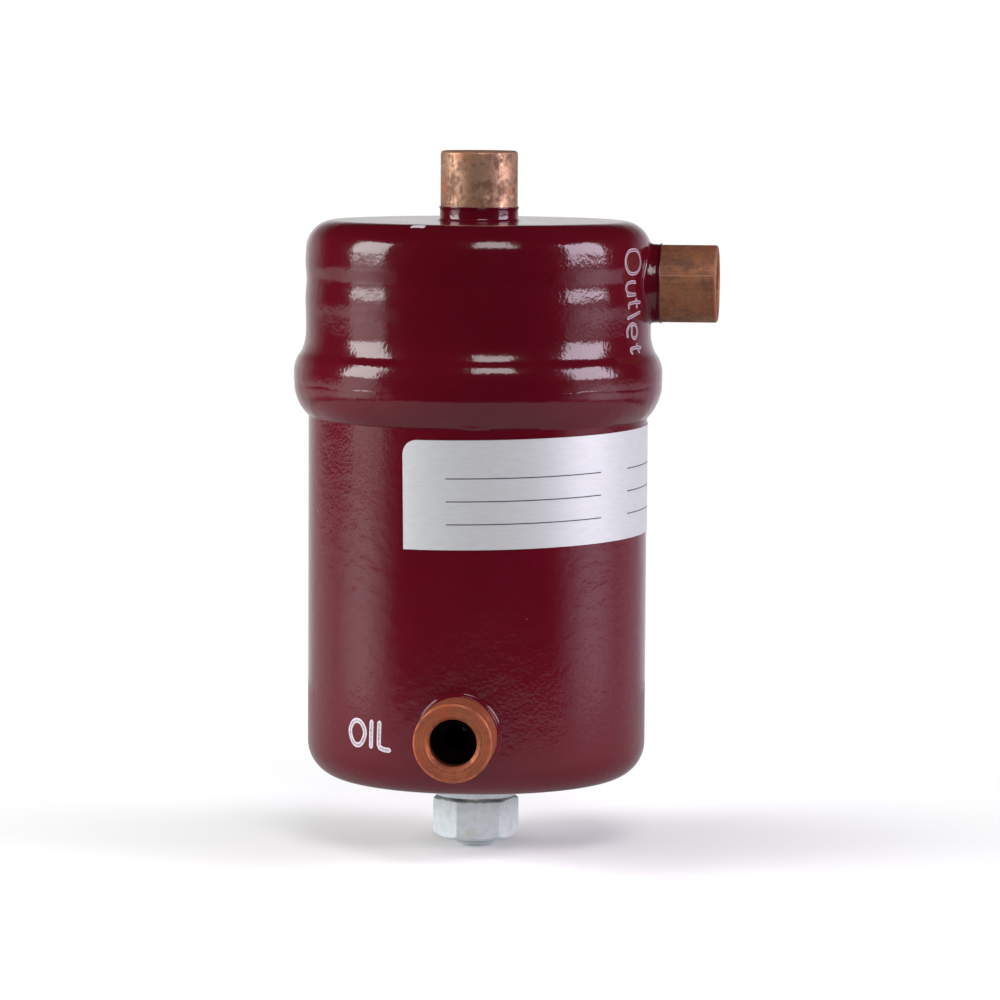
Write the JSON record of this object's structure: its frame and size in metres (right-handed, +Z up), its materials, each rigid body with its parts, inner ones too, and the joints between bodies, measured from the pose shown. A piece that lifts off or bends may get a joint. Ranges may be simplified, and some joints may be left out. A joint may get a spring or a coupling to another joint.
{
  "type": "refrigeration oil separator",
  "caption": "Painted welded steel vessel with brazed inlet, outlet and oil return sockets, a float valve inside and a threaded mounting stud, for compressor discharge gas.",
  "frame": {"origin": "centre of the vessel's bottom face, where the mounting stud starts", "axes": "+Z up along the vessel and out of the inlet, +X out of the outlet, -Y out of the oil return"},
  "size_m": [0.0873, 0.0849, 0.1438],
  "materials": {
    "paint": "gloss",
    "copper": "tarnished",
    "zinc": "zinc plated",
    "foil": "silver film",
    "steel": "satin",
    "mesh": "knitted wire",
    "brass": "turned"
  },
  "bodies": {
    "vessel": {"upper_shell": "paint", "lower_shell": "paint", "girth_weld": "paint", "inlet_fitting": "copper", "outlet_fitting": "copper", "oil_fitting": "copper", "inlet_braze": "paint", "outlet_braze": "paint", "oil_braze": "paint", "mounting_stud": "zinc", "lock_washer": "zinc", "hex_nut": "zinc", "data_label": "foil", "element_top_cap": "steel", "element_core": "steel", "element_mesh": "mesh", "element_sleeve": "steel", "element_bottom_cap": "steel", "valve_body": "brass", "valve_seat": "brass", "hinge_pin": "steel"},
    "float": {"float_lever": "steel", "float_near_half": "steel", "float_far_half": "steel"},
    "needle": {"valve_needle": "steel"}
  },
  "joints": [
    {"name": "float_hinge", "type": "hinge", "parent": "vessel", "child": "float", "pos_m": [0, -0.01533, 0.018], "axis": [1, 0, 0], "range_deg": [0, 15]},
    {"name": "needle_slide", "type": "slide", "parent": "vessel", "child": "needle", "axis": [0, 1, 0], "range_m": [0, 0.00131]}
  ],
  "couplings": [
    {"joint": "needle_slide", "follows": "float_hinge", "m_per_rad": 0.005}
  ]
}
